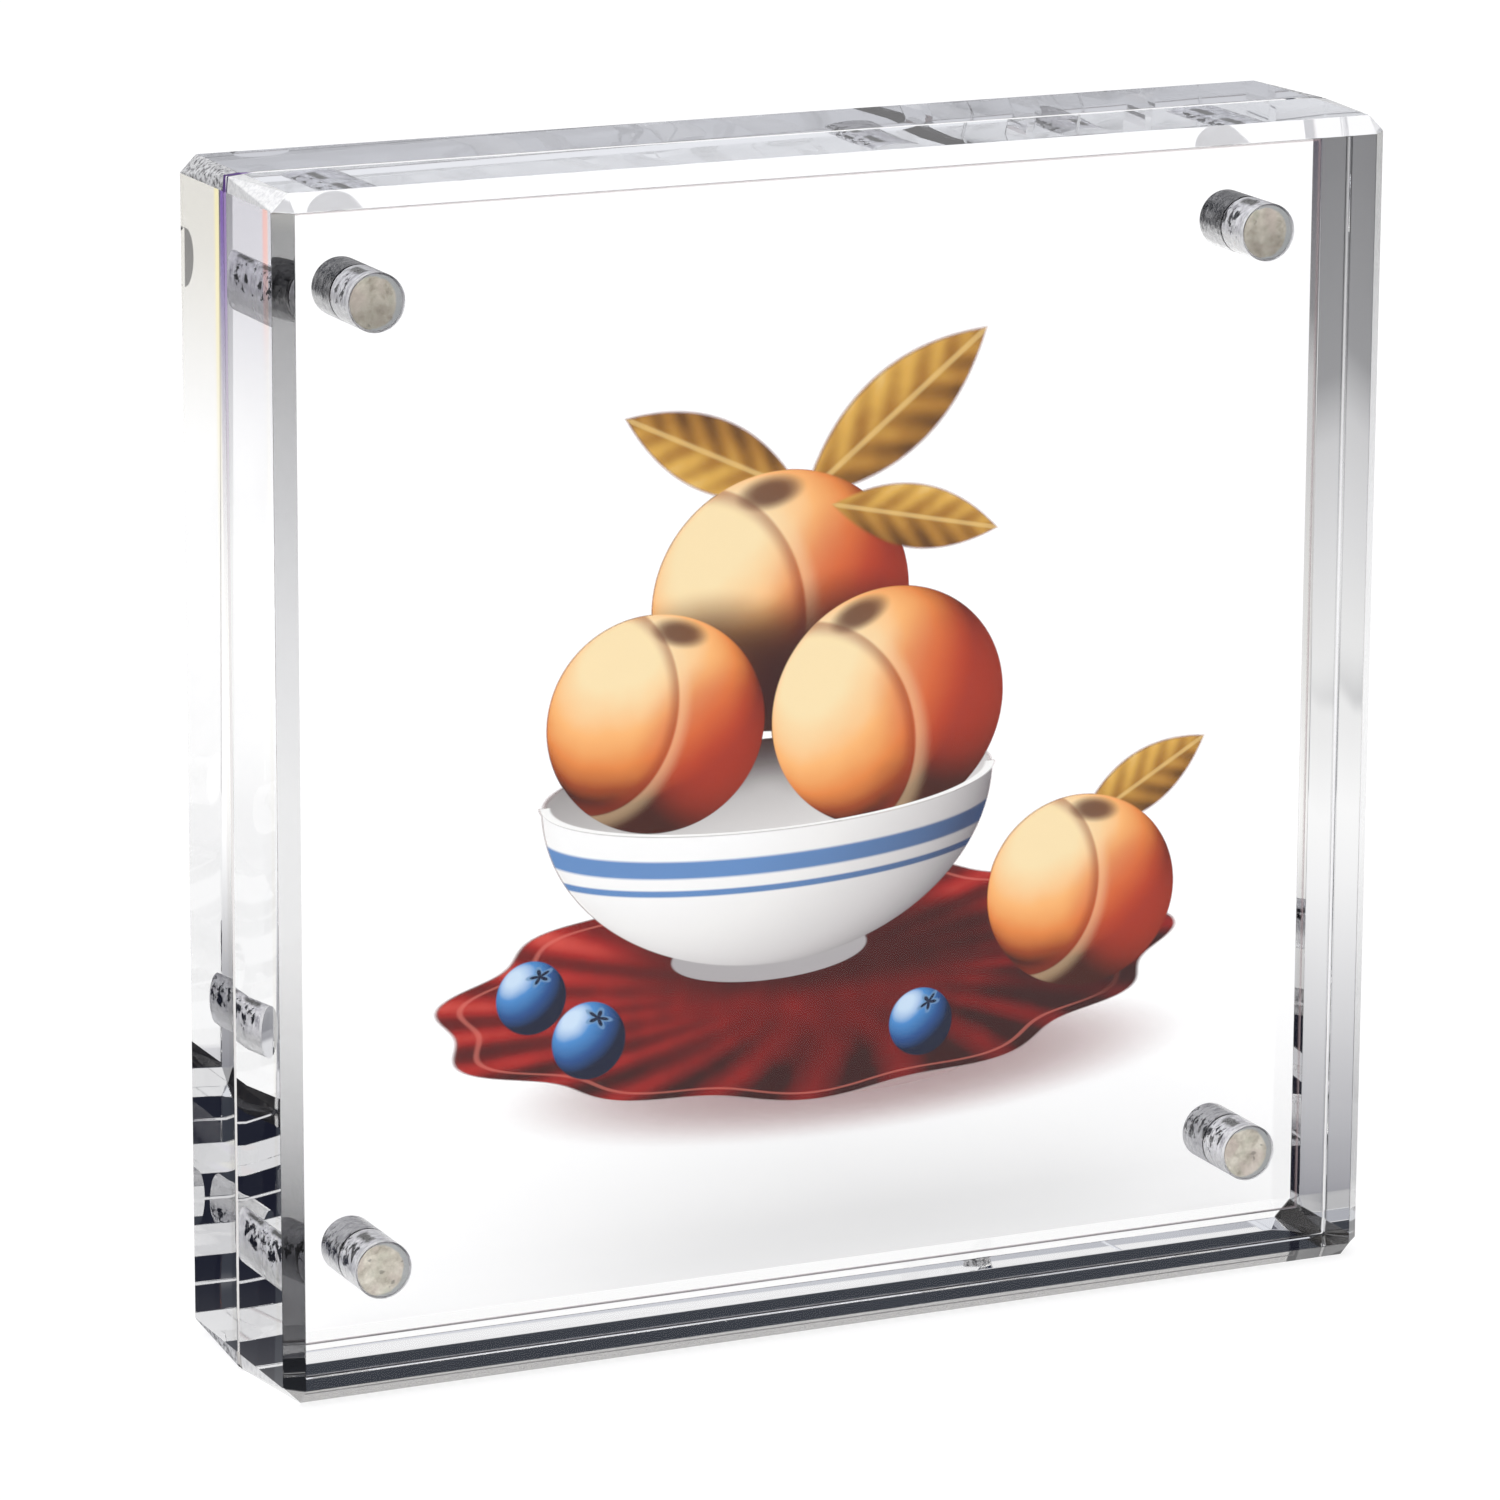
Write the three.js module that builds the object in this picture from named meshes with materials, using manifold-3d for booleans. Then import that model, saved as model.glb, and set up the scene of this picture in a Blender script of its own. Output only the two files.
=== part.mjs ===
// Magnetic block picture frame: two clear acrylic blocks face to face, with a
// printed film between them, held together by four pairs of cylinder magnets
// glued into blind bores near the corners.
// Millimetres, +Z up. The front faces -Y. The origin is on the ground, under
// the middle of the closed frame.

import * as THREE from 'three';
import { mergeVertices } from 'three/addons/utils/BufferGeometryUtils.js';
import Module from 'manifold-3d';

const wasm = await Module();
wasm.setup();

// Driving dimensions of the blocks
const FRAME_WIDTH = 106;
const FRAME_HEIGHT = 106;
const BLOCK_THICKNESS = 12;
const EDGE_CHAMFER = 1.5;
const SEAM_EASING = 0.25;

// Driving dimensions of the picture
const FILM_THICKNESS = 0.2;
const FILM_CLEARANCE = 0.05;
const FILM_MARGIN_X = 3;
const FILM_MARGIN_Z = 3;

// Driving dimensions of the magnets and of what holds them
const MAGNET_DIAMETER = 5;
const MAGNET_LENGTH = 6;
const MAGNET_RIM_CHAMFER = 0.2;
const MAGNET_INSET_X = 10.3;
const MAGNET_INSET_Z = 10.3;
const BORE_CLEARANCE = 0.1;
const ADHESIVE_THICKNESS = 0.2;
const ADHESIVE_EDGE_INSET = 0.1;
const ADHESIVE_CLEARANCE = 0.05;

// Sizes worked out from them
const SEAM_GAP = FILM_THICKNESS + 2 * FILM_CLEARANCE;
const BORE_RADIUS = MAGNET_DIAMETER / 2 + BORE_CLEARANCE;
const BORE_DEPTH = MAGNET_LENGTH + ADHESIVE_THICKNESS + 2 * ADHESIVE_CLEARANCE;
const ADHESIVE_RADIUS = MAGNET_DIAMETER / 2 - ADHESIVE_EDGE_INSET;

// Sides of each round, and the distance within which two corners are one
const ROUND_SIDES = 48;
const MERGE_DISTANCE = 1e-5;

// Each half: its name, and the side of the seam that it lies on along Y
const HALVES = [
  { name: 'front', side: -1 },
  { name: 'rear', side: 1 },
];

// The magnets' places on the seam plane
const magnetX = FRAME_WIDTH / 2 - MAGNET_INSET_X;
const CORNERS = [
  { name: 'top_left', x: -magnetX, z: FRAME_HEIGHT - MAGNET_INSET_Z },
  { name: 'top_right', x: magnetX, z: FRAME_HEIGHT - MAGNET_INSET_Z },
  { name: 'bottom_left', x: -magnetX, z: MAGNET_INSET_Z },
  { name: 'bottom_right', x: magnetX, z: MAGNET_INSET_Z },
];

const acrylic = () => new THREE.MeshStandardMaterial({
  color: 0xf4f8fa,
  roughness: 0.02,
  metalness: 0,
  transparent: true,
  opacity: 0.3,
});
const plating = () => new THREE.MeshStandardMaterial({
  color: 0xc4c4c8,
  roughness: 0.12,
  metalness: 1,
});
const adhesive = () => new THREE.MeshStandardMaterial({
  color: 0xb4ada0,
  roughness: 0.6,
  metalness: 0,
});
const film = () => new THREE.MeshStandardMaterial({
  color: 0xe9a070,
  roughness: 0.35,
  metalness: 0,
});

function toSolid(geometry) {
  const positions = geometry.clone();
  positions.deleteAttribute('normal');
  positions.deleteAttribute('uv');
  const merged = mergeVertices(positions, MERGE_DISTANCE);
  return new wasm.Manifold(new wasm.Mesh({
    numProp: 3,
    vertProperties: new Float32Array(merged.attributes.position.array),
    triVerts: new Uint32Array(merged.index.array),
  }));
}

function toGeometry(solid) {
  const mesh = solid.getMesh();
  const geometry = new THREE.BufferGeometry();
  const positions = new THREE.BufferAttribute(mesh.vertProperties, 3);
  geometry.setAttribute('position', positions);
  geometry.setIndex(new THREE.BufferAttribute(mesh.triVerts, 1));
  geometry.computeVertexNormals();
  return geometry;
}

// A rectangle from (left, low) to (right, high). cuts gives the 45 degree cut
// at its low-left, low-right, high-right and high-left corner.
function cutRectangle(left, low, right, high, cuts) {
  const [lowLeft, lowRight, highRight, highLeft] = cuts;
  const shape = new THREE.Shape();
  shape.moveTo(left + lowLeft, low);
  shape.lineTo(right - lowRight, low);
  shape.lineTo(right, low + lowRight);
  shape.lineTo(right, high - highRight);
  shape.lineTo(right - highRight, high);
  shape.lineTo(left + highLeft, high);
  shape.lineTo(left, high - highLeft);
  shape.lineTo(left, low + lowLeft);
  shape.closePath();
  return shape;
}

function extrude(shape, depth) {
  return new THREE.ExtrudeGeometry(shape, { depth, bevelEnabled: false });
}

// One block with its inner face on y = 0 and its outer face at y = -thickness.
// It is what three extrusions along the row's axes have in common, so every
// chamfer is one flat plane and three of them meet in a point at each corner.
function blockSolid() {
  const half = FRAME_WIDTH / 2;
  const outer = EDGE_CHAMFER;
  const inner = SEAM_EASING;

  const face = cutRectangle(-half, 0, half, FRAME_HEIGHT, [outer, outer, outer, outer]);
  const alongY = extrude(face, BLOCK_THICKNESS);
  alongY.rotateX(Math.PI / 2);

  const plan = cutRectangle(-half, -BLOCK_THICKNESS, half, 0, [outer, outer, inner, inner]);
  const alongZ = extrude(plan, FRAME_HEIGHT);

  const profile = cutRectangle(0, -BLOCK_THICKNESS, FRAME_HEIGHT, 0, [outer, outer, inner, inner]);
  const alongX = extrude(profile, FRAME_WIDTH);
  const profileToRow = new THREE.Matrix4().set(
    0, 0, 1, -half,
    0, 1, 0, 0,
    -1, 0, 0, FRAME_HEIGHT,
    0, 0, 0, 1,
  );
  alongX.applyMatrix4(profileToRow);

  return toSolid(alongY).intersect(toSolid(alongZ)).intersect(toSolid(alongX));
}

// The cutter for one blind bore, standing proud of the inner face
function boreSolid(x, z) {
  const proud = 1;
  const length = BORE_DEPTH + proud;
  const cutter = new THREE.CylinderGeometry(BORE_RADIUS, BORE_RADIUS, length, ROUND_SIDES);
  cutter.translate(x, proud - length / 2, z);
  return toSolid(cutter);
}

function blockGeometry() {
  let solid = blockSolid();
  for (const corner of CORNERS) {
    solid = solid.subtract(boreSolid(corner.x, corner.z));
  }
  return toGeometry(solid);
}

// A disc or cylinder along Y, centred on the origin, with both rims chamfered
function roundGeometry(radius, length, chamfer) {
  const half = length / 2;
  const outline = [
    new THREE.Vector2(0, -half),
    new THREE.Vector2(radius - chamfer, -half),
    new THREE.Vector2(radius, -half + chamfer),
    new THREE.Vector2(radius, half - chamfer),
    new THREE.Vector2(radius - chamfer, half),
    new THREE.Vector2(0, half),
  ];
  return new THREE.LatheGeometry(outline, ROUND_SIDES);
}

function addMesh(group, name, geometry, material) {
  const mesh = new THREE.Mesh(geometry, material);
  mesh.name = name;
  group.add(mesh);
  return mesh;
}

// One half of the frame: a block, and the magnets and adhesive in its bores
function makeHalf(half) {
  const group = new THREE.Group();
  const innerFace = half.side * SEAM_GAP / 2;

  const block = addMesh(group, `${half.name}_block`, blockGeometry(), acrylic());
  block.position.y = innerFace;
  block.rotation.z = half.side > 0 ? Math.PI : 0;

  const magnetDepth = MAGNET_LENGTH / 2;
  const adhesiveDepth = MAGNET_LENGTH + ADHESIVE_CLEARANCE + ADHESIVE_THICKNESS / 2;
  for (const corner of CORNERS) {
    const magnet = addMesh(
      group,
      `${half.name}_magnet_${corner.name}`,
      roundGeometry(MAGNET_DIAMETER / 2, MAGNET_LENGTH, MAGNET_RIM_CHAMFER),
      plating(),
    );
    magnet.position.set(corner.x, innerFace + half.side * magnetDepth, corner.z);

    const glue = addMesh(
      group,
      `${half.name}_adhesive_${corner.name}`,
      new THREE.CylinderGeometry(ADHESIVE_RADIUS, ADHESIVE_RADIUS, ADHESIVE_THICKNESS, ROUND_SIDES),
      adhesive(),
    );
    glue.position.set(corner.x, innerFace + half.side * adhesiveDepth, corner.z);
  }
  return group;
}

// The printed film, centred on the seam between the blocks
function makePicture() {
  const group = new THREE.Group();
  const width = FRAME_WIDTH - 2 * FILM_MARGIN_X;
  const height = FRAME_HEIGHT - 2 * FILM_MARGIN_Z;
  const sheet = new THREE.BoxGeometry(width, FILM_THICKNESS, height);
  const mesh = addMesh(group, 'picture_film', sheet, film());
  mesh.position.z = FRAME_HEIGHT / 2;
  return group;
}

const frame = new THREE.Group();
for (const half of HALVES) {
  frame.add(makeHalf(half));
}
frame.add(makePicture());

export default frame;
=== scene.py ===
# Magnetic block picture frame: polished acrylic blocks, plated magnets, dabs of
# adhesive and a printed film, on a pale floor. Metres, +Z up, the front faces -Y.

import math

import bmesh
import bpy
from mathutils import Matrix, Vector


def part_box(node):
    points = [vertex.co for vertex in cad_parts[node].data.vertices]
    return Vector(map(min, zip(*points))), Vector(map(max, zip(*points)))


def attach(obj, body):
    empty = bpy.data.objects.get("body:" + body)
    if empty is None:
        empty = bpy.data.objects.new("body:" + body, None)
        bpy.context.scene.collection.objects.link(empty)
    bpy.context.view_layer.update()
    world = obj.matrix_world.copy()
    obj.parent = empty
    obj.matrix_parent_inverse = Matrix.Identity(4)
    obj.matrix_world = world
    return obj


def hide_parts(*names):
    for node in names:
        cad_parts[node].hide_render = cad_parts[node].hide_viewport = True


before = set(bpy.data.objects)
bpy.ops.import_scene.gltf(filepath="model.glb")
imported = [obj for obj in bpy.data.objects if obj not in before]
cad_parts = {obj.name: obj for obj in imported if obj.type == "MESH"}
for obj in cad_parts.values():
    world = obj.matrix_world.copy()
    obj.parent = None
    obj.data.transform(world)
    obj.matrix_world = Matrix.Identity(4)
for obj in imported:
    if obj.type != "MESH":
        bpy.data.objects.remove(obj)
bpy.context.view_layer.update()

MM = 0.001

# The camera, found by fitting the frame's corners and edges to the photograph
CAMERA_PLACE = Vector((-0.27741, -0.58634, 0.21270))
CAMERA_YAW = math.radians(25.013)
CAMERA_PITCH = math.radians(14.029)
CAMERA_ROLL = math.radians(0.296)
CAMERA_SENSOR = 36.0
CAMERA_LENS = 5.010 * CAMERA_SENSOR
CAMERA_NEAR = 0.01
CAMERA_FAR = 50.0

# Sizes that the CAD solids have, read from the frame
front_low, front_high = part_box("front_block")
film_low, film_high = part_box("picture_film")
magnet_low, magnet_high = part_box("front_magnet_top_left")
glue_low, glue_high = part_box("front_adhesive_top_left")
FRAME_WIDTH = front_high.x - front_low.x
FRAME_HEIGHT = front_high.z - front_low.z
HALF_WIDTH = FRAME_WIDTH / 2
BLOCK_THICKNESS = front_high.y - front_low.y
INNER_FACE = -front_high.y
MAGNET_RADIUS = (magnet_high.x - magnet_low.x) / 2
MAGNET_LENGTH = magnet_high.y - magnet_low.y
MAGNET_HIGH = (magnet_low.z + magnet_high.z) / 2
MAGNET_LOW = FRAME_HEIGHT - MAGNET_HIGH
MAGNET_SIDE = -(magnet_low.x + magnet_high.x) / 2
GLUE_RADIUS = (glue_high.x - glue_low.x) / 2
GLUE_THICKNESS = glue_high.y - glue_low.y

# Sizes that the block's box doesn't give, as in the CAD source, and where the front bevels start
EDGE_CHAMFER = 1.5 * MM
FRONT_BEVEL = front_low.y + EDGE_CHAMFER
BORE_RADIUS = MAGNET_RADIUS + 0.1 * MM
BORE_DEPTH = MAGNET_LENGTH + 0.3 * MM

# Fine finish of the edges, and the sides of each round. The seam's edges look finer than the CAD's.
SEAM_EASING = 0.12 * MM
POLISHED_EDGE = 0.05 * MM
MAGNET_RIM = 0.22 * MM
GLUE_RIM = 0.4 * GLUE_THICKNESS
ROUND_SIDES = 128

# How far the cutters of the bores stand proud of the inner face
CUTTER_PROUD = 1.0 * MM

# The angle up to which faces count as one flat face, and the angles above which edges are drawn sharp
FLAT_ANGLE = math.radians(0.5)
BLOCK_SHARP_ANGLE = math.radians(10)
MAGNET_SHARP_ANGLE = math.radians(40)

# The air under the feet, without which the glass wouldn't mirror there
FLOOR_GAP = 0.03 * MM

# Acrylic's index, the share of a lamp's light that a face passes, and the depth of the bores' lumps
ACRYLIC_IOR = 1.49
FACE_PASS = 0.96
BORE_LUMPS = 0.12 * MM

# How much acrylic seen straight on mirrors, next to plain acrylic, and the index of the film's gloss.
# The photograph shows no reflections there.
FACE_GLOSS = 0.12
FILM_GLOSS_IOR = 1.06

# How often light may turn inside the blocks
BOUNCES = 40

# The studio: the floor, the pool of light on it, and the lamp, whose light goes towards its azimuth.
# The pool has a middle, half sizes to its sides, behind it and in front, and its last colour lies
# POOL_RIM half sizes out.
FLOOR_REACH = 3.0
FLOOR_COLOUR = (0.50, 0.50, 0.50, 1.0)
FLOOR_LIFT = 0.56
POOL_RIGHT = 0.06
POOL_MIDDLE = -0.10
POOL_SIDE = 0.42
POOL_BACK = 0.50
POOL_FRONT = 0.80
POOL_RIM = 1.6
KEY_STRENGTH = 2.4
KEY_ANGLE = math.radians(40)
KEY_AZIMUTH = math.radians(35)
KEY_HEIGHT = math.radians(48)

WHITE = (1.0, 1.0, 1.0, 1.0)
CORNERS = ("top_left", "top_right", "bottom_left", "bottom_right")


def new_object(name, mesh):
    obj = bpy.data.objects.new(name, mesh)
    bpy.context.scene.collection.objects.link(obj)
    return obj


def add_piece(name, bm, material, body, node):
    """A mesh piece that rides on a body and stands for a CAD node."""
    mesh = bpy.data.meshes.new(name)
    bm.to_mesh(mesh)
    bm.free()
    mesh.materials.append(material)
    piece = new_object(name, mesh)
    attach(piece, body)
    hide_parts(node)
    return piece


def make_camera():
    forward = Vector((
        math.sin(CAMERA_YAW) * math.cos(CAMERA_PITCH),
        math.cos(CAMERA_YAW) * math.cos(CAMERA_PITCH),
        -math.sin(CAMERA_PITCH),
    ))
    data = bpy.data.cameras.new("camera")
    data.sensor_width = CAMERA_SENSOR
    data.lens = CAMERA_LENS
    data.clip_start = CAMERA_NEAR
    data.clip_end = CAMERA_FAR
    camera = new_object("camera", data)
    level = forward.to_track_quat("-Z", "Y").to_matrix().to_4x4()
    camera.matrix_world = level @ Matrix.Rotation(CAMERA_ROLL, 4, "Z")
    camera.location = CAMERA_PLACE
    bpy.context.scene.camera = camera


class Field:
    """A number, vector or colour that varies over a surface: a node's output, with arithmetic that adds
    more nodes."""

    def __init__(self, tree, socket):
        self.tree = tree
        self.socket = socket

    def math(self, operation, *others, clamp=False):
        node = self.tree.nodes.new("ShaderNodeMath")
        node.operation = operation
        node.use_clamp = clamp
        for slot, value in zip(node.inputs, (self, *others)):
            put(self.tree, slot, value)
        return Field(self.tree, node.outputs[0])

    def __add__(self, other):
        return self.math("ADD", other)

    def __sub__(self, other):
        return self.math("SUBTRACT", other)

    def __mul__(self, other):
        return self.math("MULTIPLY", other)

    def __truediv__(self, other):
        return self.math("DIVIDE", other)

    def __radd__(self, other):
        return self.math("ADD", other)

    def __rmul__(self, other):
        return self.math("MULTIPLY", other)

    def __rsub__(self, other):
        return constant(self.tree, other).math("SUBTRACT", self)

    def abs(self):
        return self.math("ABSOLUTE")

    def sqrt(self):
        return self.math("SQRT")

    def sin(self):
        return self.math("SINE")

    def clamped(self):
        return self.math("ADD", 0.0, clamp=True)

    def sphere_height(self):
        """How high a sphere of radius 1 stands at a distance from its middle whose square this is."""
        return (1.0 - self).clamped().sqrt()

    def vector_math(self, operation, *others, output=0):
        node = self.tree.nodes.new("ShaderNodeVectorMath")
        node.operation = operation
        for slot, value in zip(node.inputs, (self, *others)):
            put(self.tree, slot, value)
        return Field(self.tree, node.outputs[output])

    def length(self):
        return self.vector_math("LENGTH", output=1)

    def dot(self, other):
        return self.vector_math("DOT_PRODUCT", other, output=1)

    def parts(self):
        split = self.tree.nodes.new("ShaderNodeSeparateXYZ")
        self.tree.links.new(self.socket, split.inputs[0])
        return [Field(self.tree, output) for output in split.outputs]

    def within(self, centre, size, turn=0.0):
        """These coordinates as a shape has them: its centre at 0, its half sizes at 1, and itself turned
        by turn degrees."""
        mapping = self.tree.nodes.new("ShaderNodeMapping")
        mapping.vector_type = "TEXTURE"
        mapping.inputs["Location"].default_value = (centre[0], 0.0, centre[1])
        mapping.inputs["Rotation"].default_value = (0.0, -math.radians(turn), 0.0)
        mapping.inputs["Scale"].default_value = (size[0], 1.0, size[1])
        self.tree.links.new(self.socket, mapping.inputs["Vector"])
        return Field(self.tree, mapping.outputs[0])

    def least(self, other):
        return self.math("MINIMUM", other)

    def most(self, other):
        return self.math("MAXIMUM", other)

    def ramp(self, low, high, smooth=True):
        """0 up to low and 1 from high on. Where low is the larger, the ramp falls."""
        node = self.tree.nodes.new("ShaderNodeMapRange")
        node.interpolation_type = "SMOOTHSTEP" if smooth else "LINEAR"
        self.tree.links.new(self.socket, node.inputs["Value"])
        node.inputs["From Min"].default_value = min(low, high)
        node.inputs["From Max"].default_value = max(low, high)
        node.inputs["To Min"].default_value = 0.0 if low < high else 1.0
        node.inputs["To Max"].default_value = 1.0 if low < high else 0.0
        return Field(self.tree, node.outputs["Result"])

    def colours(self, *stops):
        """A colour ramp over this number, from (place, (r, g, b)) stops."""
        node = self.tree.nodes.new("ShaderNodeValToRGB")
        ramp = node.color_ramp
        while len(ramp.elements) < len(stops):
            ramp.elements.new(0.5)
        for element, (place, colour) in zip(ramp.elements, stops):
            element.position = place
            element.color = (*colour, 1.0)
        self.tree.links.new(self.socket, node.inputs["Fac"])
        return Field(self.tree, node.outputs["Color"])


def distance(across, along):
    return (across * across + along * along).sqrt()


def constant(tree, value):
    node = tree.nodes.new("ShaderNodeValue")
    node.outputs[0].default_value = value
    return Field(tree, node.outputs[0])


def put(tree, slot, value):
    """Links a field to an input, or writes a plain value on it."""
    if isinstance(value, Field):
        tree.links.new(value.socket, slot)
    else:
        slot.default_value = value


# The colour sockets of a Mix node, whose names its other sockets share
MIX_FIRST, MIX_SECOND, MIX_RESULT = 6, 7, 2


def mixed(tree, share, first, second):
    """first where share is 0, second where it is 1. Both are colours."""
    node = tree.nodes.new("ShaderNodeMix")
    node.data_type = "RGBA"
    put(tree, node.inputs["Factor"], share)
    put(tree, node.inputs[MIX_FIRST], first)
    put(tree, node.inputs[MIX_SECOND], second)
    return Field(tree, node.outputs[MIX_RESULT])


def new_material(name):
    material = bpy.data.materials.new(name)
    material.use_nodes = True
    tree = material.node_tree
    tree.nodes.clear()
    output = tree.nodes.new("ShaderNodeOutputMaterial")
    return material, tree, output


def shader(tree, kind, **values):
    """A shader node. Each value is written on, or linked to, the input of that name."""
    node = tree.nodes.new(kind)
    for name, value in values.items():
        put(tree, node.inputs[name.replace("_", " ")], value)
    return node


def mix_shaders(tree, share, first, second):
    node = tree.nodes.new("ShaderNodeMixShader")
    put(tree, node.inputs[0], share)
    tree.links.new(first.outputs[0], node.inputs[1])
    tree.links.new(second.outputs[0], node.inputs[2])
    return node


def light_path(tree, name):
    node = tree.nodes.new("ShaderNodeLightPath")
    return Field(tree, node.outputs[name])


def object_place(tree):
    """The piece's own coordinates as one vector, in metres."""
    return Field(tree, tree.nodes.new("ShaderNodeTexCoord").outputs["Object"])


def split_place(tree):
    """The piece's own x, y and z, in metres."""
    return object_place(tree).parts()


def noise_field(tree, place, size, detail=2.0, roughness=0.5, stretch=(1.0, 1.0, 1.0)):
    """Noise from 0 to 1 whose lumps are about size metres across, stretched along each axis."""
    mapping = tree.nodes.new("ShaderNodeMapping")
    tree.links.new(place.socket, mapping.inputs["Vector"])
    mapping.inputs["Scale"].default_value = [1 / (size * s) for s in stretch]
    texture = tree.nodes.new("ShaderNodeTexNoise")
    texture.inputs["Scale"].default_value = 1.0
    texture.inputs["Detail"].default_value = detail
    texture.inputs["Roughness"].default_value = roughness
    tree.links.new(mapping.outputs[0], texture.inputs["Vector"])
    return Field(tree, texture.outputs[0])


def bump(tree, height, depth):
    """The normal of a surface whose height, from 0 to 1, is depth metres deep."""
    node = tree.nodes.new("ShaderNodeBump")
    node.inputs["Distance"].default_value = depth
    put(tree, node.inputs["Height"], height)
    return Field(tree, node.outputs[0])


def clear_acrylic(name, tint, cover=None, finish=None):
    """Clear acrylic that lamps shine through. tint(tree) is the colour of what shows through,
    cover(tree) the share of the surface that something opaque of that colour covers, and finish(tree)
    its normal."""
    material, tree, output = new_material(name)
    glass = shader(
        tree,
        "ShaderNodeBsdfPrincipled",
        Base_Color=tint(tree),
        Roughness=0.0,
        IOR=ACRYLIC_IOR,
        Transmission_Weight=1.0 - cover(tree) if cover else 1.0,
        Specular_Tint=(FACE_GLOSS, FACE_GLOSS, FACE_GLOSS, 1.0),
    )
    if finish:
        put(tree, glass.inputs["Normal"], finish(tree))
    clear = shader(tree, "ShaderNodeBsdfTransparent", Color=(FACE_PASS, FACE_PASS, FACE_PASS, 1.0))
    both = mix_shaders(tree, light_path(tree, "Is Shadow Ray"), glass, clear)
    tree.links.new(both.outputs[0], output.inputs["Surface"])
    return material


def strip(place, middle, half):
    """1 at the middle of a strip, 0 beyond half its width from there."""
    return (place - middle).abs().ramp(half, half * 0.4)


def high_up(tree, start):
    """0 up to start, a share of the frame's height, and 1 near the top."""
    z = split_place(tree)[2]
    return (z / FRAME_HEIGHT).ramp(start, 0.97)


# Painted light on the clear faces: a faint painted blue on the top, and high on the left side painted
# reflections and the painted colours that light splits into
TOP_PAINTED_BLUE = (0.87, 0.91, 1.0, 1.0)
REAR_WARM = (0.60, 0.575, 0.50, 1.0)
FRONT_COOL = (0.46, 0.45, 0.51, 1.0)
SEAM_CREAM = (0.62, 0.60, 0.54, 1.0)
SEAM_YELLOW = (0.90, 0.74, 0.22, 1.0)
SEAM_PURPLE = (0.045, 0.015, 0.16, 1.0)
BEVEL_CREAM = (0.80, 0.76, 0.62, 1.0)
BEVEL_RED = (0.90, 0.22, 0.14, 1.0)

# Painted light and shade on the seam: greys of its right edge at the foot and at the top, as seen in the
# mouth of the gap and on the eased edges, and painted shade on the eased edges along the foot
MOUTH_PAINTED_GREYS = ((0.70, 0.70, 0.71, 1.0), (0.06, 0.06, 0.062, 1.0))
EASED_PAINTED_GREYS = ((0.80, 0.80, 0.81, 1.0), (0.30, 0.30, 0.31, 1.0))
SEAM_FOOT_PAINTED_SHADE = (0.04, 0.04, 0.045, 1.0)


def face_painted_light(tree):
    """Clear faces with painted light: faintly blue on top, coloured high on the left and grey in the
    mouth of the seam.
    """
    x, y, z = split_place(tree)
    on_top = (z - FRAME_HEIGHT).ramp(-0.2 * MM, -0.1 * MM)
    plain = mixed(tree, on_top, WHITE, TOP_PAINTED_BLUE)
    mouth = (HALF_WIDTH - x).ramp(0.30 * MM, 0.22 * MM) * y.abs().ramp(0.22 * MM, 0.18 * MM)
    return mixed(tree, mouth, left_side_painted_light(tree, plain), seam_colour(tree, MOUTH_PAINTED_GREYS))


def left_side_painted_light(tree, plain):
    """Painted light on the left side: high up it is warm behind the seam and cool before it, with strips
    of colour beside the seam and the front bevel. The two pale strips go all the way down. Elsewhere it
    is plain."""
    x, y, _ = split_place(tree)
    left = (x + HALF_WIDTH).ramp(0.2 * MM, 0.1 * MM)
    high = left * high_up(tree, 0.60)
    higher = left * high_up(tree, 0.70)
    highest = left * high_up(tree, 0.84)
    warm = mixed(tree, higher * y.ramp(-0.1 * MM, 0.1 * MM), plain, REAR_WARM)
    cool = mixed(tree, higher * y.ramp(0.1 * MM, -0.1 * MM), warm, FRONT_COOL)
    cream = mixed(tree, left * strip(y, 0.6 * MM, 1.1 * MM) * 0.5, cool, SEAM_CREAM)
    yellow = mixed(tree, high * strip(y, 1.9 * MM, 0.8 * MM) * 0.8, cream, SEAM_YELLOW)
    purple = mixed(tree, high * strip(y, 0.5 * MM, 1.2 * MM), yellow, SEAM_PURPLE)
    bevel_pale = left * strip(y, FRONT_BEVEL + 1.05 * MM, 0.5 * MM) * 0.35
    pale = mixed(tree, bevel_pale, purple, BEVEL_CREAM)
    bevel_red = highest * strip(y, FRONT_BEVEL + 1.35 * MM, 0.8 * MM) * 0.7
    return mixed(tree, bevel_red, pale, BEVEL_RED)


def from_magnet(place):
    """How far right of and above the middle of the nearer magnet a place is, and 1 for the top pair of
    magnets or 0 for the bottom pair."""
    x, _, z = place.parts()
    top_pair = z.math("GREATER_THAN", FRAME_HEIGHT / 2)
    right = x - x.math("SIGN") * MAGNET_SIDE
    up = z - MAGNET_LOW - top_pair * (MAGNET_HIGH - MAGNET_LOW)
    return right, up, top_pair


# Colours of the residue: its streaks from dark to pale, painted shade behind the seam, a painted
# reflection underneath, a painted highlight at the front end, its blots and a dark strip along the top
RESIDUE = (
    (0.34, (0.26, 0.26, 0.29)),
    (0.44, (0.68, 0.67, 0.72)),
    (0.56, (0.92, 0.92, 0.95)),
)
BEHIND_SEAM_PAINTED_SHADE = (0.045, 0.045, 0.050, 1.0)
UNDERSIDE_PAINTED_REFLECTION = (0.95, 0.95, 0.95, 1.0)
FRONT_END_PAINTED_HIGHLIGHT = (0.95, 0.95, 0.97, 1.0)
BLOT_BLACK = (0.004, 0.004, 0.008, 1.0)
TOP_STRIP_BLACK = (0.040, 0.040, 0.030, 1.0)


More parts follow.
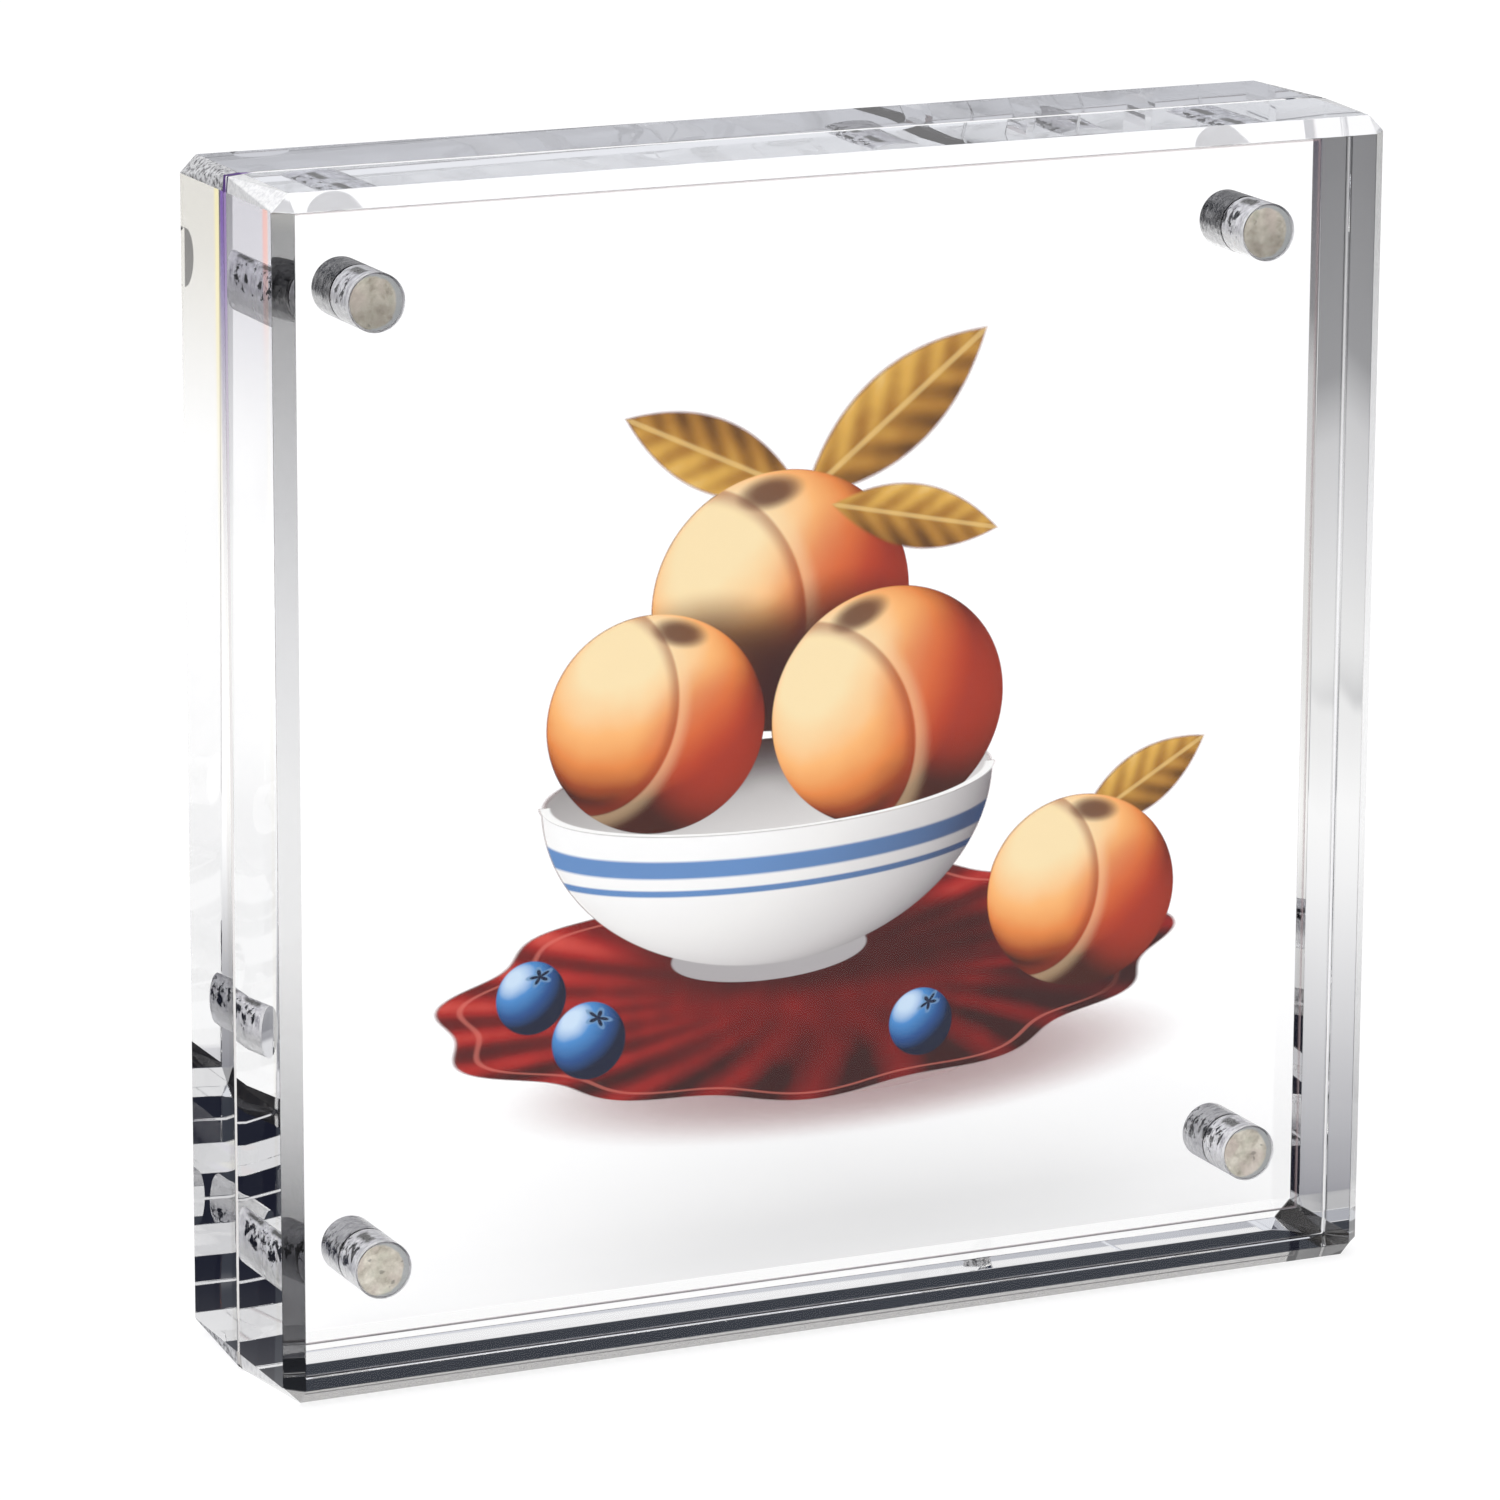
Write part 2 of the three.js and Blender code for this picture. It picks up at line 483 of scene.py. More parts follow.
def bore_residue_and_painted_light(tree):
    """The bores' walls: a pale adhesive coat with painted shade, reflection and highlight, black blots,
    and a dark strip along the top.
    """
    place = object_place(tree)
    y = place.parts()[1]
    right, up, top_pair = from_magnet(place)
    ragged = noise_field(tree, place, 0.7 * MM, detail=4.0, roughness=0.65)
    ragged_up = up + (ragged - 0.5) * (4.0 * MM)
    ragged_right = right + (ragged - 0.5) * (0.8 * MM)
    coat = residue_coat_and_painted_light(tree, place, ragged, ragged_up, top_pair)
    blotted = mixed(tree, residue_blots(tree, place, ragged_up), coat, BLOT_BLACK)
    top_strip = strip(ragged_right, -0.75 * MM, 0.65 * MM) * up.ramp(1.6 * MM, 2.0 * MM)
    along = y.ramp(-5.2 * MM, -4.4 * MM) * y.ramp(-0.8 * MM, -1.6 * MM)
    return mixed(tree, top_strip * along * 0.9, blotted, TOP_STRIP_BLACK)


def residue_coat_and_painted_light(tree, place, ragged, ragged_up, top_pair):
    """A streaked pale coat, with painted shade behind the seam, and a painted reflection underneath and
    a painted highlight at the front end, both white.
    """
    y = place.parts()[1]
    streaks = noise_field(tree, place, 0.30 * MM, detail=2.0, stretch=(8.0, 0.5, 8.0))
    coat = (ragged * 0.65 + streaks * 0.35).colours(*RESIDUE)
    behind = y.ramp(-0.1 * MM, 0.2 * MM) * (0.35 + 0.60 * top_pair)
    dark = mixed(tree, behind, coat, BEHIND_SEAM_PAINTED_SHADE)
    pale = mixed(tree, ragged_up.ramp(0.3 * MM, -1.1 * MM), dark, UNDERSIDE_PAINTED_REFLECTION)
    return mixed(tree, y.ramp(-5.7 * MM, -6.0 * MM), pale, FRONT_END_PAINTED_HIGHLIGHT)


def residue_blots(tree, place, ragged_up):
    """1 on blots in a ragged band just above the middle, clear of the front end."""
    y = place.parts()[1]
    band = (ragged_up - 1.0 * MM).abs().ramp(1.7 * MM, 0.6 * MM)
    spots = noise_field(tree, place, 1.5 * MM, detail=5.0, roughness=0.62)
    return (spots * band * y.ramp(-5.4 * MM, -4.4 * MM)).ramp(0.48, 0.53)


def bore_cover(tree):
    marks = noise_field(tree, object_place(tree), 0.8 * MM, detail=3.0)
    return 0.70 + 0.28 * marks.ramp(0.35, 0.60)


# Painted light and shade on the upright front bevels: their greys from the foot to the top, and the
# share of the height below which the right one doesn't change
BEVEL_PAINTED_GREYS = (
    (0.00, (0.090, 0.090, 0.092)),
    (0.03, (0.070, 0.070, 0.072)),
    (0.05, (0.030, 0.030, 0.032)),
    (0.085, (0.018, 0.018, 0.020)),
    (0.13, (0.030, 0.030, 0.033)),
    (0.165, (0.085, 0.085, 0.088)),
    (0.25, (0.32, 0.32, 0.325)),
    (0.38, (0.61, 0.61, 0.61)),
    (0.51, (0.61, 0.61, 0.61)),
    (0.65, (0.46, 0.46, 0.47)),
    (0.745, (0.315, 0.315, 0.325)),
    (0.845, (0.19, 0.19, 0.195)),
    (0.90, (0.13, 0.13, 0.133)),
    (0.97, (0.10, 0.10, 0.10)),
    (1.00, (0.20, 0.195, 0.18)),
)
RIGHT_BEVEL_FOOT = 0.245

# Tints of the other bevels: clear ones, the front's also a painted highlight where the top bevel is
# covered, and painted shade on the lowest
FRONT_CLEAR_AND_HIGHLIGHT = (0.95, 0.95, 0.97, 1.0)
REAR_CLEAR = (0.98, 0.98, 0.98, 1.0)
LOWEST_PAINTED_SHADE = (0.17, 0.165, 0.16, 1.0)

# The corner cuts from their marks to their pale ground, painted shade on the cuts at the right foot, and
# the painted colours of the seam's left edge high up and low down
FRONT_SAWN = ((0.80, 0.80, 0.81), (0.98, 0.98, 0.98))
REAR_SAWN = ((0.10, 0.10, 0.11), (0.85, 0.85, 0.86))
SHADED_SAWN = ((0.006, 0.005, 0.004), (0.032, 0.029, 0.025))
FRONT_FRINGE = (0.06, 0.03, 0.13, 1.0)
REAR_FRINGE = (0.10, 0.05, 0.20, 1.0)
LOW_FRINGE = (0.62, 0.60, 0.58, 1.0)


def front_bevel_marks_and_painted_light(tree):
    """The front bevels, with painted light and shade: upright ones grey towards their ends, the top one
    clear, and the lowest grey from outside."""
    z = split_place(tree)[2]
    height = (z / FRAME_HEIGHT).most(right_half(tree) * RIGHT_BEVEL_FOOT)
    upright = height.colours(*BEVEL_PAINTED_GREYS)
    facing = facing_up(tree)
    top = top_bevel(tree)
    clear = mixed(tree, top.most(facing.ramp(0.3, 0.6)), upright, FRONT_CLEAR_AND_HIGHLIGHT)
    lowest = facing.ramp(-0.3, -0.6) * (1.0 - top)
    outer = mixed(tree, lowest, clear, LOWEST_PAINTED_SHADE)
    corner = mixed(tree, sawn_corner(tree), outer, sawn_colour(tree, FRONT_SAWN))
    return with_seam(tree, corner, FRONT_FRINGE)


def rear_bevel_marks_and_painted_light(tree):
    """The rear bevels: clear, but for the sawn corners and the painted light on the seam's eased edges.
    """
    corner = mixed(tree, sawn_corner(tree), REAR_CLEAR, sawn_colour(tree, REAR_SAWN))
    return with_seam(tree, corner, REAR_FRINGE)


def front_bevel_matt_and_highlight(tree):
    """The sawn corners are matt, and the top bevel is half covered in near-white, a painted highlight.
    """
    return (sawn_corner(tree) * 0.95).most(top_bevel(tree) * 0.55)


def rear_bevel_cover(tree):
    return sawn_corner(tree) * 0.95


def facing_up(tree):
    """How far the seen side of the surface faces up, from -1 to 1. From inside it is the other side."""
    normal = tree.nodes.new("ShaderNodeTexCoord").outputs["Normal"]
    return Field(tree, normal).parts()[2]


def right_half(tree):
    """1 on the right half of the frame."""
    x = split_place(tree)[0]
    return x.ramp(0.0, 10 * MM)


def top_bevel(tree):
    z = split_place(tree)[2]
    return (z - FRAME_HEIGHT).ramp(-1.02 * EDGE_CHAMFER, -0.98 * EDGE_CHAMFER)


def sawn_corner(tree):
    """1 on the four corner cuts, which are sawn and not polished."""
    x, _, z = split_place(tree)
    out = x.abs() + (z - FRAME_HEIGHT / 2).abs()
    cut = HALF_WIDTH + FRAME_HEIGHT / 2 - EDGE_CHAMFER
    return out.ramp(cut - 0.20 * MM, cut - 0.05 * MM)


def sawn_colour(tree, greys):
    """Mottled saw marks, with painted shade on the cuts at the right foot."""
    place = object_place(tree)
    z = place.parts()[2]
    marks = noise_field(tree, place, 0.45 * MM, detail=4.0, roughness=0.7)
    clean = marks.colours((0.38, greys[0]), (0.56, greys[1]))
    shaded_cuts = marks.colours((0.35, SHADED_SAWN[0]), (0.65, SHADED_SAWN[1]))
    return mixed(tree, right_half(tree) * z.ramp(60 * MM, 50 * MM), clean, shaded_cuts)


def with_seam(tree, colour, fringe):
    """A bevel's colour, with painted light and shade on the seam's eased edges laid over it: coloured
    fringes on the left, and greys on the right and at the foot."""
    low_to_high = mixed(tree, high_up(tree, 0.60), LOW_FRINGE, fringe)
    left = mixed(tree, seam_edge(tree, -1), colour, low_to_high)
    right = mixed(tree, seam_edge(tree, 1), left, seam_colour(tree, EASED_PAINTED_GREYS))
    return mixed(tree, seam_foot(tree), right, SEAM_FOOT_PAINTED_SHADE)


def near_seam(tree):
    """1 within half a millimetre of the seam, before or behind it."""
    y = split_place(tree)[1]
    return y.abs().ramp(0.6 * MM, 0.5 * MM)


def seam_edge(tree, side):
    """1 on the seam's eased edges at the frame's left, for a side of -1, or at its right."""
    x = split_place(tree)[0]
    return near_seam(tree) * (x * side - HALF_WIDTH).ramp(-3 * MM, -2 * MM)


def seam_foot(tree):
    """1 on the seam's eased edges at the foot."""
    z = split_place(tree)[2]
    return near_seam(tree) * z.ramp(0.40 * MM, 0.30 * MM)


def seam_colour(tree, greys):
    """The painted grey of the seam's right edge, from the first at the foot to the second at the top."""
    z = split_place(tree)[2]
    return mixed(tree, (z / FRAME_HEIGHT).ramp(0.55, 0.95), *greys)


def bore_finish(tree):
    """Drilled walls: lumps where adhesive has wetted them, and the fine rings that the drill left."""
    place = object_place(tree)
    lumps = noise_field(tree, place, 0.9 * MM, detail=2.0, roughness=0.6)
    rings = noise_field(tree, place, 0.30 * MM, detail=1.0, stretch=(20.0, 1.0, 20.0))
    return bump(tree, lumps + rings * 0.15, BORE_LUMPS)


# The plating from its marks to clean metal
PLATING = (
    (0.30, (0.52, 0.51, 0.52)),
    (0.52, (0.78, 0.77, 0.78)),
)


def plating_material():
    """Bright nickel plating with fine handling marks."""
    material, tree, output = new_material("magnet_plating")
    place = object_place(tree)
    marks = noise_field(tree, place, 0.6 * MM, detail=4.0, roughness=0.65)
    dents = noise_field(tree, place, 0.9 * MM, detail=3.0)
    metal = shader(
        tree,
        "ShaderNodeBsdfPrincipled",
        Base_Color=marks.colours(*PLATING),
        Metallic=1.0,
        Roughness=0.06 + 0.14 * marks,
        Normal=bump(tree, dents, 0.03 * MM),
    )
    tree.links.new(metal.outputs[0], output.inputs["Surface"])
    return material


# The adhesive's mottle from dark to pale, and its patches, its painted shade, its voids and what it
# leaves bare
TAN = (
    (0.30, (0.27, 0.24, 0.19)),
    (0.44, (0.46, 0.42, 0.35)),
    (0.55, (0.59, 0.55, 0.47)),
    (0.72, (0.80, 0.76, 0.67)),
)
WARM_TAN = (0.60, 0.50, 0.46, 1.0)
COOL_TAN = (0.42, 0.44, 0.34, 1.0)
SHADED_TAN = (0.15, 0.13, 0.10, 1.0)
VOID_TAN = (0.16, 0.15, 0.13, 1.0)
BARE_GREY = (0.33, 0.35, 0.37, 1.0)


def adhesive_colour(tree, place, mottle):
    """Mottled tan, warmer and cooler in patches, with painted shade on the top pair, deeper low down,
    small voids, and grey where the adhesive doesn't reach the right edge."""
    right, up, top_pair = from_magnet(place)
    tan = mottle.colours(*TAN)
    hue = noise_field(tree, place, 2.2 * MM, detail=1.0)
    warm = mixed(tree, hue.ramp(0.52, 0.66) * 0.45, tan, WARM_TAN)
    cool = mixed(tree, hue.ramp(0.46, 0.34) * 0.45, warm, COOL_TAN)
    shade = (up.ramp(1.5 * MM, -1.0 * MM) * 0.35 + 0.15) * top_pair
    shaded = mixed(tree, shade, cool, SHADED_TAN)
    voids = noise_field(tree, place, 0.55 * MM, detail=1.0).ramp(0.30, 0.24)
    spotted = mixed(tree, voids * 0.6, shaded, VOID_TAN)
    reach = distance(right + 0.40 * MM, up) + (mottle - 0.5) * (0.6 * MM)
    return mixed(tree, reach.ramp(2.15 * MM, 2.35 * MM) * 0.85, spotted, BARE_GREY)


def adhesive_material():
    """Set adhesive, a little rough and lumpy."""
    material, tree, output = new_material("adhesive")
    place = object_place(tree)
    mottle = noise_field(tree, place, 1.3 * MM, detail=5.0, roughness=0.62)
    paste = shader(
        tree,
        "ShaderNodeBsdfPrincipled",
        Base_Color=adhesive_colour(tree, place, mottle),
        Roughness=0.5,
        Normal=bump(tree, mottle, 0.05 * MM),
    )
    tree.links.new(paste.outputs[0], output.inputs["Surface"])
    return material


# Inks of the picture's shadows: on the ground, and where one thing touches another
SHADOW_INK = (0.30, 0.17, 0.17, 1.0)
CONTACT_INK = (0.03, 0.002, 0.002, 1.0)


class Print:
    """A picture printed on clear film, built up layer over layer: the ink, and how much it covers."""

    def __init__(self, tree):
        self.tree = tree
        middle = (0.0, 0.0, -FRAME_HEIGHT / 2 / MM)
        self.place = object_place(tree).vector_math("MULTIPLY_ADD", (1 / MM, 0.0, 1 / MM), middle)
        self.grain = noise_field(tree, self.place, 3.0, detail=3.0) - 0.5
        self.ink = SHADOW_INK
        self.cover = constant(tree, 0.0)

    def lay(self, mask, colour):
        self.ink = mixed(self.tree, mask, self.ink, colour)
        self.cover = self.cover.most(mask)

    def shade(self, mask, colour):
        """Tints the ink that is there already."""
        self.ink = mixed(self.tree, mask, self.ink, colour)

    def soft_shadow(self, centre, size, depth):
        spot = self.place.within(centre, size)
        reach = spot.dot(spot)
        self.cover = self.cover.most(reach.ramp(1.0, 0.0) * depth)

    def contact_shadow(self, centre, size, depth):
        spot = self.place.within(centre, size)
        self.shade(spot.dot(spot).ramp(1.0, 0.2) * depth, CONTACT_INK)


# Where the light in the picture comes from, as a direction across and up the film and then out of it,
# and how soft the print's edges are, in millimetres
LAMP = (-0.48, 0.0, 0.60)
LAMP_FRONT = 0.64
PRINT_EDGE = 0.12


def edge(reach, radius):
    """1 inside a round shape, 0 outside, where reach is the square of the distance from its middle."""
    return reach.ramp(1.0, 1.0 - 2 * PRINT_EDGE / radius, smooth=False)


def print_ball(art, centre, radius, stops, squash=1.0, turn=0.0):
    """A lit ball. Returns its own coordinates, and 1 inside it."""
    spot = art.place.within(centre, (radius, radius * squash), turn)
    reach = spot.dot(spot)
    light = spot.dot(LAMP) + reach.sphere_height() * LAMP_FRONT + art.grain * 0.10
    mask = edge(reach, radius)
    art.lay(mask, light.colours(*stops))
    return spot, mask


# The peaches and the berries, each from its shaded side to its lit one
PEACH = (
    (0.02, (0.05, 0.006, 0.002)),
    (0.20, (0.34, 0.060, 0.012)),
    (0.42, (0.82, 0.26, 0.060)),
    (0.66, (1.00, 0.50, 0.18)),
    (0.92, (1.00, 0.80, 0.47)),
)
BERRY = (
    (0.05, (0.004, 0.008, 0.03)),
    (0.45, (0.02, 0.08, 0.26)),
    (0.80, (0.07, 0.26, 0.60)),
    (0.97, (0.60, 0.75, 0.92)),
)


def print_peach(art, centre, radius, lean):
    """A peach with a red blush, its cleft, and a small hollow at the stem."""
    spot, mask = print_ball(art, centre, radius, PEACH, squash=0.94, turn=lean)
    blush = spot.within((0.55, -0.10), (0.75, 0.85))
    art.shade(blush.dot(blush).ramp(1.0, 0.0) * mask * 0.60, (0.62, 0.050, 0.020, 1.0))
    cleft = spot.within((-0.55, 0.05), (0.72, 0.95), 6).length() - 1.0
    groove = cleft.ramp(-0.16, -0.01) * cleft.ramp(0.03, -0.01) * mask
    art.shade(groove * 0.55, (0.30, 0.030, 0.008, 1.0))
    sheen = cleft.ramp(0.00, 0.03) * cleft.ramp(0.22, 0.04) * mask
    art.shade(sheen * 0.35, (1.00, 0.72, 0.42, 1.0))
    hollow = spot.within((0.02, 0.84), (0.30, 0.15))
    art.shade(hollow.dot(hollow).ramp(1.0, 0.1) * mask * 0.9, (0.10, 0.015, 0.004, 1.0))


def print_berry(art, centre, radius, turn):
    """A blueberry with its five-pointed crown."""
    spot, mask = print_ball(art, centre, radius, BERRY)
    crown = spot.within((0.25, 0.55), (0.36, 0.24), turn)
    x, _, z = crown.parts()
    star = crown.length() - (z.math("ARCTAN2", x) * 5.0).sin() * 0.30
    art.shade(star.ramp(0.95, 0.75) * mask * 0.8, (0.16, 0.30, 0.50, 1.0))
    art.shade(star.ramp(0.62, 0.42) * mask, (0.006, 0.012, 0.04, 1.0))


def print_leaf(art, centre, size, turn):
    """A golden-brown leaf: two arcs that meet in points, a midrib and side veins."""
    along, _, across = art.place.within(centre, size, turn).parts()
    side = across.abs()
    outline = (1.0 - along * along) - side
    mask = outline.ramp(0.0, 0.12, smooth=False)
    veins = (along * 19.0 - side * 7.0).sin() * 0.10
    tone = across * 0.28 + 0.5 + veins + art.grain * 0.3
    art.lay(mask, tone.colours(
        (0.15, (0.10, 0.035, 0.006)),
        (0.45, (0.42, 0.19, 0.03)),
        (0.75, (0.74, 0.42, 0.08)),
        (0.98, (0.92, 0.66, 0.24)),
    ))
    art.shade(side.ramp(0.10, 0.03) * mask * 0.6, (0.88, 0.62, 0.24, 1.0))


def print_cloth(art, centre, size):
    """A round dark red cloth lying flat, with a scalloped hem and folds that run out to it."""
    spot = art.place.within(centre, size)
    x, _, z = spot.parts()
    turn = z.math("ARCTAN2", x)
    hem = (turn * 11.0).sin() * 0.035 + (turn * 4.0 + 0.7).sin() * 0.03
    reach = spot.length() - hem
    mask = reach.ramp(1.0, 0.985, smooth=False)
    folds = (turn * 22.0 + reach * 5.0).sin() * reach.ramp(0.25, 1.0)
    tone = folds * 0.26 + z * 0.22 - x * 0.14 + 0.42 + art.grain * 0.3
    art.lay(mask, tone.colours(
        (0.10, (0.030, 0.001, 0.001)),
        (0.40, (0.160, 0.004, 0.004)),
        (0.70, (0.400, 0.015, 0.012)),
        (0.97, (0.660, 0.075, 0.055)),
    ))
    stitch = (reach - 0.93).abs().ramp(0.012, 0.004) * mask
    art.shade(stitch * 0.5, (0.70, 0.18, 0.14, 1.0))


def print_bowl_back(art, centre, half, lip):
    """The far inner wall of the bowl, behind the fruit."""
    spot = art.place.within(centre, (half, lip))
    reach = spot.dot(spot)
    x, _, z = spot.parts()
    art.lay(edge(reach, lip), (x * 0.25 - z * 0.35 + 0.5).colours(
        (0.10, (0.30, 0.28, 0.28)),
        (0.90, (0.74, 0.72, 0.71)),
    ))


def print_bowl_front(art, centre, half, deep, lip):
    """The near wall of the bowl, with its rolled rim, two blue bands and a foot."""
    foot = art.place.within((centre[0], centre[1] - deep * 0.93), (half * 0.44, lip * 0.62))
    art.lay(edge(foot.dot(foot), lip), (0.42, 0.40, 0.41, 1.0))
    wall = art.place.within(centre, (half, deep))
    rim = art.place.within(centre, (half, lip))
    below = wall.dot(wall)
    x, _, z = wall.parts()
    lip_curve = (x * x).sphere_height() * (lip / deep)
    near = (z + lip_curve).ramp(0.010, -0.010, smooth=False)
    mask = edge(below, deep) * near
    tone = below.sphere_height() * 0.55 - x * 0.42 + z * 0.16 + 0.42
    art.lay(mask, tone.colours(
        (0.05, (0.22, 0.20, 0.21)),
        (0.40, (0.60, 0.58, 0.58)),
        (0.75, (0.88, 0.87, 0.86)),
        (0.98, (1.00, 1.00, 1.00)),
    ))
    drop = z + lip_curve * 0.95
    bands = (drop + 0.20).abs().ramp(0.055, 0.040, smooth=False)
    bands = bands.most((drop + 0.33).abs().ramp(0.022, 0.012, smooth=False))
    art.shade(bands * mask * 0.9, tone.colours((0.2, (0.01, 0.04, 0.13)), (0.9, (0.04, 0.20, 0.52))))
    ring = (rim.length() - 0.985).abs().ramp(0.030, 0.014) * z.ramp(0.002, -0.002)
    art.lay(ring, (0.97, 0.97, 0.96, 1.0))


def still_life(tree):
    """Peaches in a banded bowl on a red cloth, with leaves and berries. Sizes are in millimetres."""
    art = Print(tree)
    art.soft_shadow((4.0, -31.0), (36.0, 6.5), 0.62)
    print_cloth(art, (0.0, -22.5), (35.0, 10.5))
    art.contact_shadow((2.0, -19.5), (26.0, 5.0), 0.85)
    art.contact_shadow((27.0, -25.0), (11.0, 3.0), 0.8)
    bowl = (-4.0, -4.0)
    bowl_half = 22.0
    bowl_lip = 4.2
    print_bowl_back(art, bowl, bowl_half, bowl_lip)
    print_leaf(art, (-9.5, 26.0), (9.5, 3.4), 155)
    print_leaf(art, (8.0, 28.5), (11.5, 4.0), 38)
    print_peach(art, (-3.0, 12.5), 12.5, 8)
    print_leaf(art, (10.0, 19.0), (8.5, 3.0), -12)
    art.contact_shadow((-10.0, 4.5), (13.5, 10.0), 0.9)
    art.contact_shadow((3.5, 4.5), (14.0, 11.0), 0.9)
    print_peach(art, (-15.0, 2.5), 10.5, -14)
    print_peach(art, (7.5, 2.0), 11.5, 20)
    print_bowl_front(art, bowl, bowl_half, 16.5, bowl_lip)
    print_leaf(art, (33.0, -7.5), (7.5, 2.8), 30)
    print_peach(art, (27.0, -17.0), 9.5, -8)
    print_berry(art, (-27.0, -21.0), 3.4, 15)
    print_berry(art, (-21.5, -25.5), 3.6, -25)
    print_berry(art, (11.0, -27.5), 3.2, 40)
    return art


def print_film_edge(art):
    """The film's cut edge, faint grey, and darker along its foot."""
    x, _, z = split_place(art.tree)
    past_side = x.abs() - film_high.x
    past_end = (z - FRAME_HEIGHT / 2).abs() - (film_high.z - film_low.z) / 2
    line = past_side.most(past_end).ramp(-0.20 * MM, -0.05 * MM)
    at_foot = (z - film_low.z).ramp(1.0 * MM, 0.5 * MM)
    art.lay(line * 0.35, (0.42, 0.43, 0.45, 1.0))
    art.lay(line * at_foot * 0.75, (0.24, 0.25, 0.27, 1.0))


def film_material():
    """Clear film with a picture printed on it."""
    material, tree, output = new_material("picture_film")
    art = still_life(tree)
    print_film_edge(art)
    ink = shader(
        tree,
        "ShaderNodeBsdfPrincipled",
        Base_Color=art.ink,
        Roughness=0.4,
        Specular_IOR_Level=0.25,
    )
    clear = shader(tree, "ShaderNodeBsdfTransparent", Color=WHITE)
    gloss = shader(tree, "ShaderNodeBsdfGlossy", Color=WHITE, Roughness=0.05)
    fresnel = shader(tree, "ShaderNodeFresnel", IOR=FILM_GLOSS_IOR)
    film = mix_shaders(tree, Field(tree, fresnel.outputs[0]), clear, gloss)
    both = mix_shaders(tree, art.cover, film, ink)
    tree.links.new(both.outputs[0], output.inputs["Surface"])
    return material


def block_shape():
    """One block with its inner face on y = 0 and its outer face at y = -thickness. Each of its corners
    is cut three ways, which leaves three points there."""
    outer, inner = EDGE_CHAMFER, SEAM_EASING
    half, depth, height = HALF_WIDTH, BLOCK_THICKNESS, FRAME_HEIGHT
    bm = bmesh.new()
    points = set()
    for x_side in (-1, 1):
        for z_side in (-1, 1):
            for cut, y, inward in ((outer, -depth, 1), (inner, 0.0, -1)):
                for dx, dz, dy in ((cut, cut, 0), (0, outer, cut), (outer, 0, cut)):
                    points.add((
                        x_side * (half - dx),
                        y + inward * dy,
                        height / 2 + z_side * (height / 2 - dz),
                    ))
    for point in sorted(points):
        bm.verts.new(point)
    bmesh.ops.convex_hull(bm, input=bm.verts)
    bmesh.ops.dissolve_limit(bm, angle_limit=FLAT_ANGLE, verts=bm.verts, edges=bm.edges)
    bmesh.ops.bevel(bm, geom=bm.edges, offset=POLISHED_EDGE, segments=2, profile=0.5, affect="EDGES")
    return bm


def bore_cutters(half, side):
    """The cutters of a block's four bores, as one object."""
    bm = bmesh.new()
    for corner in CORNERS:
        low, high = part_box(f"{half}_magnet_{corner}")
        middle = (low + high) / 2
        made = bmesh.ops.create_cone(
            bm,
            cap_ends=True,
            segments=ROUND_SIDES,
            radius1=BORE_RADIUS,
            radius2=BORE_RADIUS,
            depth=BORE_DEPTH + CUTTER_PROUD,
        )
        place = Vector((-side * middle.x, (CUTTER_PROUD - BORE_DEPTH) / 2, middle.z))
        for vertex in made["verts"]:
            vertex.co = Vector((vertex.co.x, vertex.co.z, vertex.co.y))
            vertex.co += place
    bmesh.ops.reverse_faces(bm, faces=bm.faces)
    mesh = bpy.data.meshes.new("bore_cutters")
    bm.to_mesh(mesh)
    bm.free()
    return new_object("bore_cutters", mesh)


def cut_away(block, cutter):
    """Takes the cutter out of the block, and returns the block's new mesh."""
    cut = block.modifiers.new("bores", "BOOLEAN")
    cut.operation = "DIFFERENCE"
    cut.solver = "EXACT"
    cut.object = cutter
    bpy.context.view_layer.update()
    graph = bpy.context.evaluated_depsgraph_get()
    mesh = bpy.data.meshes.new_from_object(block.evaluated_get(graph))
    block.modifiers.clear()
    block.data = mesh
    bpy.data.objects.remove(cutter)
    return mesh


def turn_into_place(mesh, side):
    """Turns the rear block to face the back, and moves a block to its side of the seam."""
    for vertex in mesh.vertices:
        x, y, z = vertex.co
        vertex.co = (-side * x, -side * y, z)
        vertex.co.y += side * INNER_FACE
    mesh.update()


# The blocks' material slots, and how near to a bore's axis the bore's own faces lie
FACE_SLOT, BEVEL_SLOT, BORE_SLOT = 0, 1, 2
NEAR_BORE = 1.1 * BORE_RADIUS


def assign_finishes(mesh, axes):
    """The flat faces and the floors of the bores are clear faces, the walls of the bores have their own
    finish, and what slants is a bevel."""
    for face in mesh.polygons:
        away = min(math.hypot(face.center.x - a.x, face.center.z - a.z) for a in axes)
        if away < NEAR_BORE:
            face.material_index = FACE_SLOT if abs(face.normal.y) > 0.5 else BORE_SLOT
        elif max(abs(v) for v in face.normal) < 0.999:
            face.material_index = BEVEL_SLOT


def make_block(half, side, materials):
    """A block with its four bores, made fine enough to be seen close by."""
    bm = block_shape()
    mesh = bpy.data.meshes.new(f"{half}_acrylic")
    bm.to_mesh(mesh)
    bm.free()
    for material in materials:
        mesh.materials.append(material)
    block = new_object(f"{half}_acrylic", mesh)
    bored = cut_away(block, bore_cutters(half, side))
    bored.polygons.foreach_set("use_smooth", [True] * len(bored.polygons))
    bored.set_sharp_from_angle(angle=BLOCK_SHARP_ANGLE)
    turn_into_place(bored, side)
    axes = [sum(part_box(f"{half}_magnet_{corner}"), Vector()) / 2 for corner in CORNERS]
    assign_finishes(bored, axes)
    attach(block, f"{half}_half")
    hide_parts(f"{half}_block")


